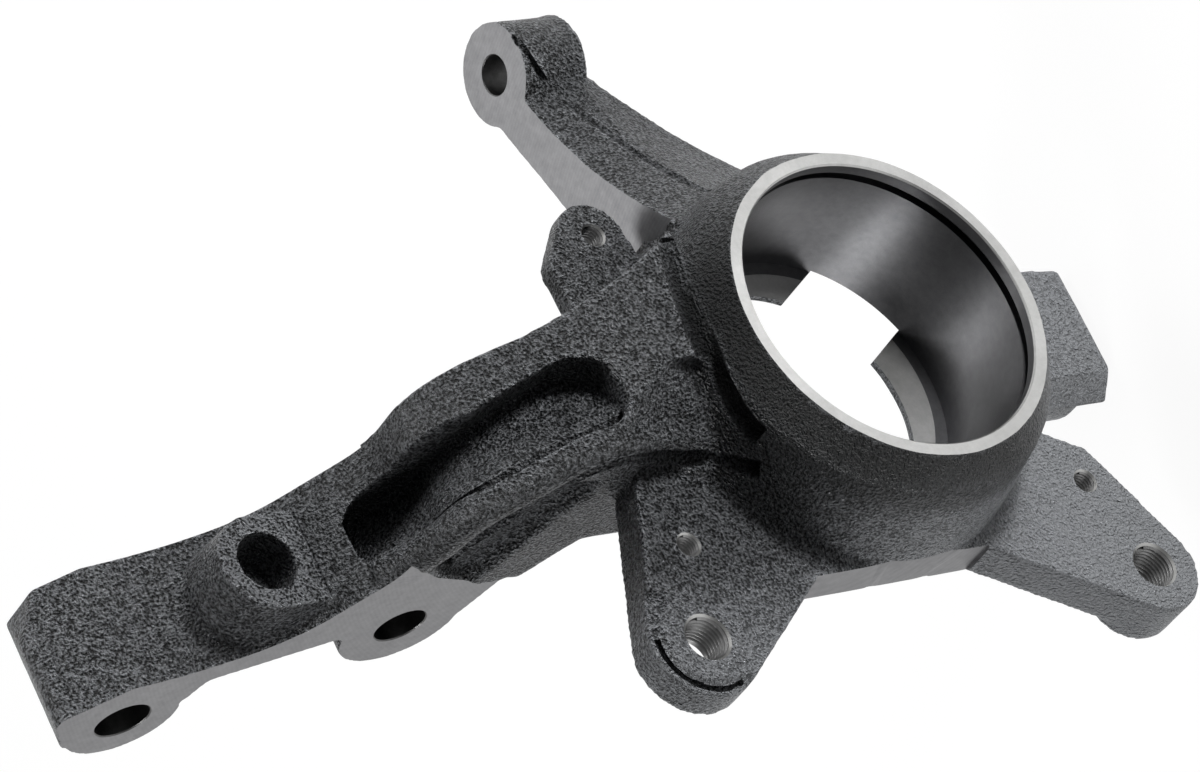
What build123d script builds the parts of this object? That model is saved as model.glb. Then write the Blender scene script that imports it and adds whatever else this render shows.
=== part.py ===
"""A front steering knuckle: one iron casting, machined where the bearing, strut, caliper and links fit.

Millimetres. The origin is on the hub axis, at the outboard face of the hub ring.
-Y is outboard, towards the wheel. +Z is up, towards the strut. +X is towards the steering arm.
"""

from build123d import *
from math import cos, radians, sin, tan
import os

os.makedirs("parts", exist_ok=True)

# Hub ring
bearing_radius = 42.0
ring_face_width = 3.6
collar_width = 10.0
collar_length = 9.0
neck_width = 14.5
mouth_chamfer = 0.4
shoulder_y = 44.0
shoulder_thickness = 2.0
shoulder_radius = 31.5
shoulder_arc_x = -4.6
shoulder_arc_z = 8.3
shoulder_arc_radius = 36.8
snap_groove_y = 3.4
snap_groove_width = 2.4
snap_groove_depth = 2.3
relief_width = 1.0
relief_depth = 0.6
notch_angle = -49.5
notch_bore_half_angle = 19.5
notch_inner_angle = -45.0
notch_inner_half_angle = 29.5
notch_inner_radius = 26.5
notch_outer_radius = 64.0

# Caliper flange and its two ears
ear_face_y = 34.0
upper_ear_x = -66.4
upper_ear_z = 74.1
upper_ear_radius = 15.3
tip_groove_width = 1.5
tip_groove_depth = 4.5
tip_ridge_width = 1.2
tip_ridge_drop = 2.0
lower_ear_x = -69.5
lower_ear_z = -72.4
lower_ear_radius = 13.6
lower_boss_height = 3.5
caliper_thread_radius = 5.4
caliper_countersink = 0.8
flange_flat_x = -55.5
flange_flat_top = 32.5
flange_flat_bottom = -22.5
ear_root_x = -20.0
upper_ear_root_drop = 1.6
upper_ear_inner_x = -15.0
upper_ear_inner_z = 40.0
lower_ear_root_x = -33.0
lower_ear_root_rise = 2.4
lower_ear_inner_x = -22.0
lower_ear_inner_z = -52.0

# Dust shield screws and tab
shield_thread_radius = 2.5
shield_countersink = 0.5
shield_upper_x = -40.7
shield_upper_z = 66.5
shield_lower_x = -42.3
shield_lower_z = -64.3
shield_tab_x = 50.1
shield_tab_z = 49.4
shield_tab_radius = 9.8
shield_tab_thickness = 6.5
shield_corner_radius = 6.0
shield_corner_left = 8.0
shield_corner_rise = 11.0
shield_root_x = 25.0
shield_root_top_rise = 16.0
shield_root_bottom_z = 36.0

# Strut arm
pad_left_x = -18.0
pad_right_x = 17.0
arm_left_x = -18.6
arm_right_x = 18.0
arm_root_y = 10.0
arm_root_z = 46.0
arm_top_left_rise = 24.0
arm_top_right_rise = 15.0
flare_middle_z = 74.0
flare_middle_width = 4.5
flare_foot_z = 40.0
flare_foot_width = 22.0
strut_upper_y = 124.3
strut_upper_z = 180.3
strut_lower_y = 98.5
strut_lower_z = 109.2
strut_upper_hole_radius = 7.45
strut_lower_hole_radius = 7.1
strut_upper_boss_radius = 15.8
strut_lower_boss_radius = 17.0
arm_end_fillet = 4.0
pocket_left_x = -15.0
pocket_right_x = 9.0
pocket_bottom_z = 78.0
pocket_top_z = 129.0
pocket_deep = 14.0
pocket_shallow = 3.0
pocket_fillet = 7.0
rib_bevel = 7.0
root_planer_lead = 1.0
root_planer_reach = 25.0
root_planer_slope = 0.9
side_recess_depth = 4.0

# Bracket boss on the outboard side of the strut arm
bracket_x = -1.0
bracket_z = 149.0
bracket_face_y = 84.0
bracket_radius = 13.4
bracket_below = 14.5
bracket_length = 20.0
bracket_hole_radius = 8.2
bracket_hole_depth = 13.0
bracket_draft = 6.0

# Steering arm
steer_face_z = 35.0
steer_end_x = 115.4
steer_end_y = 57.5
steer_bow_x = 73.4
steer_bow_y = 40.0
steer_root_y = 19.0
steer_back_y = 48.0
steer_heel_length = 3.0
steer_belly_x = 60.0
steer_belly_z = -8.0
steer_root_z = -9.0
steer_boss_radius = 13.9
steer_boss_height = 20.0
steer_collar_height = 5.0
steer_collar_step = 0.6
steer_draft = 14.0
steer_lower_draft = 6.0
parting_z = 18.0
parting_step = 0.8
steer_depth = 44.0
tie_rod_top_radius = 5.35
tie_rod_bottom_radius = 7.0

# Lower ball-joint lug
lug_face_y = 38.0
lug_left_x = -9.0
lug_right_x = 22.8
lug_end_z = -96.0
lug_side_width = 6.2
lug_side_depth = 7.6
lug_waist_z = -70.0
lug_root_z = -40.0
lug_root_flare = 7.0
ball_x = 7.0
ball_y = 57.0
ball_boss_radius = 17.0
ball_boss_height = 26.0
ball_bore_radius = 8.0

ear_back_y = shoulder_y + shoulder_thickness
ear_thickness = ear_back_y - ear_face_y
arm_width = arm_right_x - arm_left_x


def inboard_plane(y):
    """The XZ plane at this distance inboard of the ring face. A minus extrusion goes further inboard."""
    return Plane.XZ.offset(-y)


def plate(y, thickness, lines):
    """A plate from this depth: the hull of the lines and arcs that the function draws."""
    with BuildPart() as flat:
        with BuildSketch(inboard_plane(y)):
            with BuildLine():
                lines()
            make_hull()
        extrude(amount=-thickness)
    return flat.part


def round_cut(plane, x, y, radius, depth, countersink):
    """The tool for a hole into the plane's back side, with a countersink at its mouth."""
    with BuildPart() as tool:
        with BuildSketch(plane):
            with Locations((x, y)):
                Circle(radius)
        extrude(amount=-depth)
        with BuildSketch(plane):
            with Locations((x, y)):
                Circle(radius + countersink)
        extrude(amount=-countersink, taper=45)
    return tool.part


def on_arm(y_percent, z_percent):
    """A point of the strut arm's side profile, as percentages of its lower bolt hole's y and z."""
    return (strut_lower_y * y_percent / 100, strut_lower_z * z_percent / 100)


def on_clamp(y_percent, z_percent):
    """A point of the strut arm's side profile, as percentages of its upper bolt hole's y and z."""
    return (strut_upper_y * y_percent / 100, strut_upper_z * z_percent / 100)


def in_pocket(across, up):
    """The point of the core pocket's outline at these shares of its width and length."""
    return (
        pocket_left_x + across * (pocket_right_x - pocket_left_x),
        pocket_bottom_z + up * (pocket_top_z - pocket_bottom_z),
    )


def polar(radius, angle):
    """The point at this radius and angle about the hub axis."""
    return (radius * cos(radians(angle)), radius * sin(radians(angle)))


# Hub ring: milled face, conical collar, drafted neck and flange rim.
with BuildPart() as hub_ring:
    with BuildSketch(Plane.XY):
        with BuildLine():
            Polyline(
                (0, 0),
                (bearing_radius + ring_face_width, 0),
                (bearing_radius + collar_width, collar_length),
                (bearing_radius + neck_width, ear_face_y),
                (bearing_radius + neck_width, ear_back_y),
                (0, ear_back_y),
                close=True,
            )
        make_face()
    revolve(axis=Axis.Y)

# Bearing bore: mouth chamfer, snap-ring groove, undercut corner, and the notch through the shoulder.
with BuildPart() as bearing_bore:
    with BuildSketch(Plane.XY):
        with BuildLine():
            groove_end = snap_groove_y + snap_groove_width
            Polyline(
                (0, 0),
                (bearing_radius + mouth_chamfer, 0),
                (bearing_radius, mouth_chamfer),
                (bearing_radius, snap_groove_y),
                (bearing_radius + snap_groove_depth, snap_groove_y),
                (bearing_radius + snap_groove_depth, groove_end),
                (bearing_radius, groove_end),
                (bearing_radius, shoulder_y - relief_width),
                (bearing_radius + relief_depth, shoulder_y - relief_width),
                (bearing_radius + relief_depth, shoulder_y),
                (0, shoulder_y),
                close=True,
            )
        make_face()
    revolve(axis=Axis.Y)
    with BuildSketch(inboard_plane(shoulder_y)):
        Circle(shoulder_radius)
        with Locations((shoulder_arc_x, shoulder_arc_z)):
            Circle(shoulder_arc_radius, mode=Mode.INTERSECT)
    extrude(amount=-shoulder_thickness)
    with BuildSketch(inboard_plane(shoulder_y)):
        with BuildLine():
            Polyline(
                (0, 0),
                polar(notch_inner_radius, notch_inner_angle - notch_inner_half_angle),
                polar(bearing_radius, notch_angle - notch_bore_half_angle),
                polar(notch_outer_radius, notch_angle - notch_bore_half_angle),
                polar(notch_outer_radius, notch_angle + notch_bore_half_angle),
                polar(bearing_radius, notch_angle + notch_bore_half_angle),
                polar(notch_inner_radius, notch_inner_angle + notch_inner_half_angle),
                close=True,
            )
        make_face()
    extrude(amount=-shoulder_thickness)


def upper_ear_lines():
    """The upper ear's tip circle and its root on the flange."""
    CenterArc((upper_ear_x, upper_ear_z), upper_ear_radius, 0, 360)
    Line((ear_root_x, upper_ear_z - upper_ear_root_drop), (upper_ear_inner_x, upper_ear_inner_z))
    Line((flange_flat_x, flange_flat_top), (ear_root_x, flange_flat_top))


def lower_ear_lines():
    """The lower ear's tip circle and its root on the flange."""
    CenterArc((lower_ear_x, lower_ear_z), lower_ear_radius, 0, 360)
    Line((lower_ear_root_x, lower_ear_z + lower_ear_root_rise), (lower_ear_inner_x, lower_ear_inner_z))
    Line((flange_flat_x, flange_flat_bottom), (ear_root_x, flange_flat_bottom))


def web_lines():
    """The flange between the ears, up to its milled edge."""
    Line((flange_flat_x, flange_flat_bottom), (flange_flat_x, flange_flat_top))
    Line((0, flange_flat_bottom), (0, flange_flat_top))


def shield_tab_lines():
    """The dust-shield tab: round at its screw, with a second corner towards the strut arm."""
    CenterArc((shield_tab_x, shield_tab_z), shield_tab_radius, 0, 360)
    corner = (shield_tab_x - shield_corner_left, shield_tab_z + shield_corner_rise)
    CenterArc(corner, shield_corner_radius, 0, 360)
    Line((shield_root_x, shield_tab_z + shield_root_top_rise), (shield_root_x, shield_root_bottom_z))


# Caliper ears, flange web and dust-shield tab. A groove runs round the upper ear's tip.
with BuildPart() as ears:
    add(plate(ear_face_y, ear_thickness, upper_ear_lines))
    tip_plane = inboard_plane(ear_face_y)
    tip_window = (3 * upper_ear_radius, 1.5 * upper_ear_radius)
    with BuildSketch(tip_plane):
        with Locations((upper_ear_x, upper_ear_z)):
            Circle(upper_ear_radius * 1.2)
            Circle(upper_ear_radius - tip_ridge_width, mode=Mode.SUBTRACT)
            Rectangle(*tip_window, align=(Align.CENTER, Align.MAX), rotation=30, mode=Mode.SUBTRACT)
    extrude(amount=-tip_ridge_drop, mode=Mode.SUBTRACT)
    with BuildSketch(tip_plane):
        with Locations((upper_ear_x, upper_ear_z)):
            Circle(upper_ear_radius - tip_ridge_width)
            Circle(upper_ear_radius - tip_ridge_width - tip_groove_width, mode=Mode.SUBTRACT)
            Rectangle(*tip_window, align=(Align.CENTER, Align.MAX), rotation=30, mode=Mode.SUBTRACT)
    extrude(amount=-tip_groove_depth, mode=Mode.SUBTRACT)
    add(plate(ear_face_y, ear_thickness, lower_ear_lines))
    add(plate(ear_face_y, ear_thickness, web_lines))
    with BuildSketch(inboard_plane(ear_back_y)):
        with Locations((lower_ear_x, lower_ear_z)):
            Circle(lower_ear_radius)
    extrude(amount=-lower_boss_height)
    add(plate(ear_face_y, shield_tab_thickness, shield_tab_lines))


def arm_crest_root():
    """The crest's lower stretch in the arm's side profile, from inside the hub to the first boss."""
    return Spline(
        (arm_root_y, arm_root_z),
        on_arm(12.2, 62.5),
        on_arm(22.3, 84.6),
        on_arm(35.5, 102.6),
        on_arm(58.9, 109.4),
    )


def arm_outline():
    """The strut arm's side profile without its bosses: crest, end, and the stepped inboard edge."""
    root = arm_crest_root()
    crest = Spline(
        root @ 1,
        on_arm(69, 111.7),
        on_arm(80.2, 119),
        on_arm(92.9, 128.7),
        on_clamp(80.9, 87.1),
        on_clamp(86.1, 102.8),
    )
    cap = Polyline(crest @ 1, on_clamp(96.1, 112.3), on_clamp(107.8, 107.6))
    under = Polyline(
        cap @ 1,
        (strut_upper_y, strut_upper_z),
        on_clamp(95.2, 91.1),
        on_clamp(88.7, 89.5),
        on_arm(102, 117.4),
        (strut_lower_y, strut_lower_z),
        on_arm(108.6, 87.5),
        on_arm(93.1, 82.4),
        on_arm(82.5, 78.9),
        on_arm(83.8, 74.9),
        on_arm(67.5, 64.3),
        on_arm(67.5, 49.6),
        (shoulder_y, arm_root_z),
    )
    Line(under @ 1, root @ 0)


def pad_outline():
    """The milled region of the strut arm's sides, open beyond the arm's end and inboard edge."""
    Polyline(
        on_arm(67, 111.2),
        on_arm(75.1, 101.6),
        on_arm(82.4, 86.5),
        on_arm(82.4, 58.8),
        on_arm(200, 58.8),
        on_arm(200, 210),
        on_arm(67, 210),
        close=True,
    )


# The strut arm's body. The root flares where it meets the hub, and both sides are milled for the strut.
with BuildPart() as arm_body:
    with BuildSketch(Plane.YZ.offset(arm_left_x)):
        with BuildLine():
            arm_outline()
        make_face()
        with Locations((strut_upper_y, strut_upper_z)):
            Circle(strut_upper_boss_radius)
        with Locations((strut_lower_y, strut_lower_z)):
            Circle(strut_lower_boss_radius)
    extrude(amount=2 * arm_width)
    with BuildSketch(inboard_plane(0)):
        with BuildLine():
            left = Line((arm_left_x, 0), (arm_left_x, strut_upper_z + arm_top_left_rise))
            top_right = (arm_right_x, strut_upper_z + arm_top_right_rise)
            top = Polyline(left @ 1, (0, strut_upper_z + arm_top_left_rise), top_right)
            right = Line(top @ 1, (arm_right_x, strut_lower_z))
            flare = ThreePointArc(
                right @ 1,
                (arm_right_x + flare_middle_width, flare_middle_z),
                (arm_right_x + flare_foot_width, flare_foot_z),
            )
            Polyline(flare @ 1, (arm_right_x + flare_foot_width, 0), left @ 0)
        make_face()
    extrude(amount=-2 * strut_upper_y, mode=Mode.INTERSECT)
    with BuildSketch(Plane.YZ.offset(pad_right_x)):
        with BuildLine():
            pad_outline()
        make_face()
    extrude(amount=arm_width, mode=Mode.SUBTRACT)
    with BuildSketch(Plane.YZ.offset(pad_left_x)):
        with BuildLine():
            pad_outline()
        make_face()
    extrude(amount=-arm_width, mode=Mode.SUBTRACT)
    fillet(arm_body.edges().filter_by(Axis.X).group_by(Axis.Z)[-1], radius=arm_end_fillet)

# Everything outboard of the crest, sheared so that it planes a growing bevel off the arm's left rib.
with BuildPart() as rib_planer:
    with BuildSketch(Plane.YZ.offset(pad_left_x + rib_bevel)):
        with BuildLine():
            edge = arm_crest_root()
            top = on_arm(58.9, 136.6)
            Polyline(edge @ 1, top, (-arm_root_y, top[1]), (-arm_root_y, arm_root_z), edge @ 0)
        make_face()
    extrude(amount=2 * rib_bevel, dir=(-1, 1, 0))

# A plane that drops the rib back to the upper ear at the arm's root.
with BuildPart() as root_planer:
    with BuildSketch(Plane.YZ.offset(arm_left_x - root_planer_lead)):
        with BuildLine():
            foot = (ear_face_y + root_planer_lead, arm_root_z)
            top = on_arm(21.8, 79.9)
            Polyline(foot, top, (-arm_root_y, top[1]), (-arm_root_y, arm_root_z), close=True)
        make_face()
    extrude(amount=root_planer_reach, dir=(1, -root_planer_slope, 0))

# Core pocket: a slot down to a floor that rises from the right wall to the left rib.
floor_slope = (pocket_deep - pocket_shallow) / (pocket_right_x - pocket_left_x)
with BuildPart() as core_pocket:
    with BuildSketch(inboard_plane(0)) as slot:
        with BuildLine():
            Polyline(
                in_pocket(0.125, 0),
                in_pocket(0.83, 0.02),
                in_pocket(1, 0.2),
                in_pocket(0.83, 0.63),
                in_pocket(1, 1),
                in_pocket(0.04, 0.96),
                in_pocket(0, 0.27),
                close=True,
            )
        make_face()
        fillet(slot.vertices(), radius=pocket_fillet)
    extrude(amount=-strut_lower_y)
    floor_origin = (pocket_left_x, 0.6 * pocket_shallow, -0.8 * pocket_shallow)
    with BuildSketch(Plane(origin=floor_origin, x_dir=(0, 1, 0), z_dir=(1, 0, 0))):
        with BuildLine():
            arm_outline()
        make_face()
    extrude(amount=2 * arm_width, dir=(1, 0.6 * floor_slope, -0.8 * floor_slope), mode=Mode.SUBTRACT)

# Shallow recess in the left side, between the rib and the inboard flange.
with BuildPart() as side_recess:
    with BuildSketch(Plane.YZ.offset(arm_left_x)):
        with BuildLine():
            Polyline(
                on_arm(65.5, 108.2),
                on_arm(74.6, 101.2),
                on_arm(81.7, 88.8),
                on_arm(65.5, 82.6),
                on_arm(50.9, 78.6),
                on_arm(44.2, 73.8),
                on_arm(36.5, 73.3),
                on_arm(35.5, 82.4),
                on_arm(46.2, 97.3),
                on_arm(56.3, 105),
                close=True,
            )
        make_face()
    extrude(amount=side_recess_depth, taper=20)

with BuildPart() as strut_arm:
    add(arm_body.part)
    add(rib_planer.part, mode=Mode.SUBTRACT)
    add(root_planer.part, mode=Mode.SUBTRACT)
    add(core_pocket.part, mode=Mode.SUBTRACT)
    add(side_recess.part, mode=Mode.SUBTRACT)


def steer_outline():
    """The steering arm seen from above, from the hub to the tie-rod boss."""
    tip = (steer_end_x - 0.71 * steer_boss_radius, steer_end_y - 0.38 * steer_boss_radius)
    outer = ThreePointArc(tip, (steer_bow_x, steer_bow_y), (bearing_radius, steer_root_y))
    heel = (bearing_radius, steer_back_y)
    back = (steer_end_x - 0.53 * steer_boss_radius, steer_end_y + 0.63 * steer_boss_radius)
    Polyline(outer @ 1, heel, (bearing_radius + steer_heel_length, steer_back_y), back, outer @ 0)


# Steering arm: drafted both ways from its parting line, and tapering to the tie-rod boss.
draft_spread = (steer_face_z - parting_z) * tan(radians(steer_draft))
steer_boss_z = steer_face_z - steer_boss_height
with BuildPart() as steering_arm:
    with BuildSketch(Plane.XY.offset(steer_face_z)):
        with BuildLine():
            steer_outline()
        make_face()
    extrude(amount=parting_z - steer_face_z, taper=-steer_draft)
    with BuildSketch(Plane.XY.offset(parting_z)):
        with BuildLine():
            steer_outline()
        make_face()
        offset(amount=draft_spread - parting_step)
    extrude(amount=parting_z - steer_depth, taper=steer_lower_draft)
    with BuildSketch(Plane.XZ):
        with BuildLine():
            Polyline(
                (0, steer_face_z),
                (0, steer_root_z),
                (steer_belly_x, steer_belly_z),
                (steer_end_x - 0.2 * steer_boss_radius, steer_boss_z),
                (steer_end_x, steer_boss_z),
                (steer_end_x, steer_face_z),
                close=True,
            )
        make_face()
    extrude(amount=-2 * steer_end_y, mode=Mode.INTERSECT)
    with BuildSketch(Plane.XY.offset(steer_face_z)):
        with Locations((steer_end_x, steer_end_y)):
            Circle(steer_boss_radius)
    extrude(amount=-steer_boss_height)
    with BuildSketch(Plane.XY.offset(steer_boss_z)):
        with Locations((steer_end_x, steer_end_y)):
            Circle(steer_boss_radius + steer_collar_step)
    extrude(amount=steer_collar_height, taper=10)

# Lower ball-joint lug: a flat block behind the ring, backed by the round stud boss.
with BuildPart() as ball_lug:
    with BuildSketch(inboard_plane(lug_face_y)):
        with BuildLine():
            Polyline(
                (lug_left_x - lug_side_width, lug_end_z),
                (lug_right_x, lug_end_z),
                (lug_right_x + lug_root_flare, lug_root_z),
                (lug_left_x - lug_side_width - lug_root_flare, lug_root_z),
                (lug_left_x - lug_side_width, lug_waist_z),
                close=True,
            )
        make_face()
    extrude(amount=lug_face_y - ear_back_y)
    with BuildSketch(Plane.XY.offset(lug_end_z)):
        with Locations((ball_x, ball_y)):
            Circle(ball_boss_radius)
    extrude(amount=ball_boss_height)
    with BuildSketch(Plane.XY.offset(lug_end_z)):
        with BuildLine():
            Polyline(
                (lug_left_x, lug_face_y),
                (lug_left_x - lug_side_width, lug_face_y + lug_side_depth),
                (lug_left_x - 2 * lug_side_width, lug_face_y + lug_side_depth),
                (lug_left_x - 2 * lug_side_width, lug_face_y),
                close=True,
            )
        make_face()
    extrude(amount=ball_boss_height, mode=Mode.SUBTRACT)

# Bracket boss: a drafted D, cut off inside the strut arm.
with BuildPart() as bracket_boss:
    with BuildSketch(inboard_plane(bracket_face_y)):
        with Locations((bracket_x, bracket_z)):
            Circle(bracket_radius)
        with Locations((bracket_x, bracket_z - bracket_below / 2)):
            Rectangle(2 * bracket_radius, bracket_below)
    extrude(amount=-bracket_length, taper=-bracket_draft)
    with BuildSketch(Plane.YZ):
        with BuildLine():
            Polyline(
                on_arm(59.4, 109.2),
                on_arm(94.4, 114.5),
                on_clamp(89.3, 94.5),
                on_clamp(59.8, 94.5),
                close=True,
            )
        make_face()
    extrude(amount=arm_width, both=True, mode=Mode.INTERSECT)
    with BuildSketch(inboard_plane(bracket_face_y)):
        with Locations((bracket_x, bracket_z)):
            Circle(bracket_hole_radius)
    bracket_hole = extrude(amount=-bracket_hole_depth, taper=bracket_draft, mode=Mode.PRIVATE)

# Both strut bolt bores, along X.
with BuildPart() as strut_bores:
    with BuildSketch(Plane.YZ.offset(pad_left_x)):
        with Locations((strut_upper_y, strut_upper_z)):
            Circle(strut_upper_hole_radius)
        with Locations((strut_lower_y, strut_lower_z)):
            Circle(strut_lower_hole_radius)
    extrude(amount=arm_width)

# Tapered tie-rod bore and the ball stud's bore, along Z.
with BuildPart() as stud_bores:
    with Locations((steer_end_x, steer_end_y, steer_face_z - steer_boss_height / 2)):
        Cone(tie_rod_bottom_radius, tie_rod_top_radius, steer_boss_height)
    with Locations((ball_x, ball_y, lug_end_z + ball_boss_height / 2)):
        Cylinder(ball_bore_radius, ball_boss_height)

# The tapped holes, drilled square to the ears' outboard face: place, radius, depth and countersink.
lower_boss_thickness = ear_thickness + lower_boss_height
with BuildPart() as tapped_holes:
    for x, z, radius, depth, countersink in (
        (upper_ear_x, upper_ear_z, caliper_thread_radius, ear_thickness, caliper_countersink),
        (lower_ear_x, lower_ear_z, caliper_thread_radius, lower_boss_thickness, caliper_countersink),
        (shield_upper_x, shield_upper_z, shield_thread_radius, ear_thickness, shield_countersink),
        (shield_lower_x, shield_lower_z, shield_thread_radius, ear_thickness, shield_countersink),
        (shield_tab_x, shield_tab_z, shield_thread_radius, shield_tab_thickness, shield_countersink),
    ):
        add(round_cut(inboard_plane(ear_face_y), x, z, radius, depth, countersink))

with BuildPart() as knuckle:
    add(hub_ring.part)
    add(ears.part)
    add(strut_arm.part)
    add(steering_arm.part)
    add(ball_lug.part)
    add(bracket_boss.part)
    add(bearing_bore.part, mode=Mode.SUBTRACT)
    add(bracket_hole, mode=Mode.SUBTRACT)
    add(strut_bores.part, mode=Mode.SUBTRACT)
    add(stud_bores.part, mode=Mode.SUBTRACT)
    add(tapped_holes.part, mode=Mode.SUBTRACT)

knuckle.part.label = "knuckle"
export_step(knuckle.part, "parts/knuckle.step")
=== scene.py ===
"""A steering knuckle: a black coated iron casting with turned, bored and milled faces and cut threads.

Sizes and places of metal are in millimetres, those of finishes and of the studio in metres.
"""

import logging
import math
from collections.abc import Iterator
from contextlib import contextmanager
from dataclasses import dataclass, field
from enum import Enum

import bpy
from mathutils import Matrix, Vector


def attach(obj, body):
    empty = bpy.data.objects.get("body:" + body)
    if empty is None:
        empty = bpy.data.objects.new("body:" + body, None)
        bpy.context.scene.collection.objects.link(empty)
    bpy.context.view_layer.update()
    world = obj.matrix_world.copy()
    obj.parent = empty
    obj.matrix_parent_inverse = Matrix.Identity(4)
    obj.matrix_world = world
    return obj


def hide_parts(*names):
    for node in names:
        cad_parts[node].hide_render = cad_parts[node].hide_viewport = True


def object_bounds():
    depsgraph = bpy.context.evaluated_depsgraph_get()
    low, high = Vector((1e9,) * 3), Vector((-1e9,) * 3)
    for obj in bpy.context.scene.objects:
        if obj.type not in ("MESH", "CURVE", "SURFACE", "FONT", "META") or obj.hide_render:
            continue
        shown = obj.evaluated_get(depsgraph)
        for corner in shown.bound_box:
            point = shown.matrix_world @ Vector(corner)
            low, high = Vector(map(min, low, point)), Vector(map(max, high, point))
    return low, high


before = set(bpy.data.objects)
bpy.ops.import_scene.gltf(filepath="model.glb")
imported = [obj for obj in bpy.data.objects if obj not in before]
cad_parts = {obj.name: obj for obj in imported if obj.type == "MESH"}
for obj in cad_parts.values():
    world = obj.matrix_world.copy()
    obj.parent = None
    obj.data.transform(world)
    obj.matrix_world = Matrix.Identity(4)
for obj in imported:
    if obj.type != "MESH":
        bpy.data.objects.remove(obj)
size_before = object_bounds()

MM = 0.001
# How near two points merge, in metres: within a new tool, and in the casting.
WELD = 1e-6
GAP = 2e-6

Place = tuple[float, float, float]
Outline = tuple[tuple[float, float], ...]
Path = tuple[Place, ...]

BACK: Place = (0, 1, 0)
LEFT: Place = (1, 0, 0)
UP: Place = (0, 0, 1)
DOWN: Place = (0, 0, -1)
UPPER_EAR_HOLE: Place = (-66.4, 34, 74.1)

log = logging.getLogger("knuckle")


class Finish(Enum):
    """The surfaces that the knuckle shows, in the order of its material slots."""

    COAT = "coated_casting"
    FACED = "faced_ring"
    BORED = "bored_wall"
    MILLED = "milled_pad"
    DRILLED = "drilled_hole"
    THREAD = "cut_thread"

    @property
    def slot(self) -> int:
        """The finish's place among the material slots."""
        return list(Finish).index(self)


@dataclass(frozen=True)
class Span:
    """A stretch of a signal's values, and what the signal becomes at the stretch's two ends."""

    start: float
    end: float
    at_start: float = 0.0
    at_end: float = 1.0


class Signal:
    """One output of a shader node, with arithmetic that adds Math nodes."""

    def __init__(self, graph: "ShaderGraph", socket: bpy.types.NodeSocket) -> None:
        """Wraps a socket.

        Args:
            graph: The graph that the socket belongs to.
            socket: The output socket.
        """
        self.graph = graph
        self.socket = socket

    def _math(self, operation: str, first: object, second: object = 0.0) -> "Signal":
        """Adds a Math node.

        Args:
            operation: The node's operation.
            first: Its first value or signal.
            second: Its second value or signal.

        Returns:
            The node's output.
        """
        return self.graph.add("ShaderNodeMath", {"operation": operation}, {0: first, 1: second})

    def __add__(self, other: object) -> "Signal":
        """Sum."""
        return self._math("ADD", self, other)

    __radd__ = __add__

    def __sub__(self, other: object) -> "Signal":
        """Difference."""
        return self._math("SUBTRACT", self, other)

    def __rsub__(self, other: object) -> "Signal":
        """Difference from a number."""
        return self._math("SUBTRACT", other, self)

    def __mul__(self, other: object) -> "Signal":
        """Product."""
        return self._math("MULTIPLY", self, other)

    __rmul__ = __mul__

    def sine(self) -> "Signal":
        """Sine of the signal in radians."""
        return self._math("SINE", self)

    def root(self) -> "Signal":
        """Square root."""
        return self._math("SQRT", self)

    def or_more(self, other: object) -> "Signal":
        """The larger of the signal and another."""
        return self._math("MAXIMUM", self, other)

    def over(self, span: Span) -> "Signal":
        """Maps a stretch of the signal onto another, clamped.

        Args:
            span: The stretch, and what its ends become.

        Returns:
            The mapped signal.
        """
        inputs = {
            "Value": self,
            "From Min": span.start,
            "From Max": span.end,
            "To Min": span.at_start,
            "To Max": span.at_end,
        }
        return self.graph.add("ShaderNodeMapRange", {"clamp": True}, inputs)


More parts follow.
